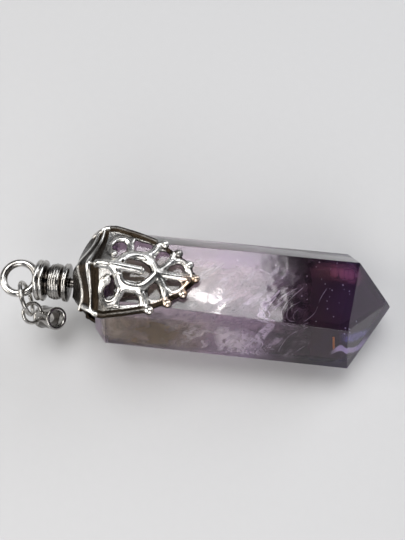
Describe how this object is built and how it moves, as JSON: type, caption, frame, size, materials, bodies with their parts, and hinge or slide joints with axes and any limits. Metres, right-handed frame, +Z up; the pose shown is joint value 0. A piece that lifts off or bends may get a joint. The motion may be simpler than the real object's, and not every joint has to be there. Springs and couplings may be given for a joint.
{
  "type": "amethyst crystal pendant",
  "caption": "Hexagonal amethyst crystal point cut flat at one end, in an openwork metal cap with a turned neck, hanging ring, jump ring and tube bail.",
  "frame": {"origin": "centre of the bounding box's underside, on the surface that the pendant lies on", "axes": "+X along the pendant from its hanging ring to the crystal's point, +Z up"},
  "size_m": [0.0452, 0.0138, 0.0157],
  "materials": {
    "amethyst": "polished",
    "silver": "polished, darkened in the recesses"
  },
  "bodies": {
    "pendant": {"crystal": "amethyst", "cap": "silver", "neck_ring": "silver"},
    "hanging_ring": {"jump_ring": "silver"},
    "bail": {"tube_bail": "silver"}
  },
  "joints": [
    {"name": "jump_ring_swing", "type": "hinge", "parent": "pendant", "child": "hanging_ring", "pos_m": [-0.0195, -0.00166, 0.00792], "axis": [0.9006, 0.4289, -0.0702], "range_deg": [-60, 45]},
    {"name": "tube_bail_swing", "type": "hinge", "parent": "hanging_ring", "child": "bail", "pos_m": [-0.01874, -0.00352, 0.00619], "axis": [-0.2141, 0.6178, -0.7567], "range_deg": [-5, 40]}
  ]
}
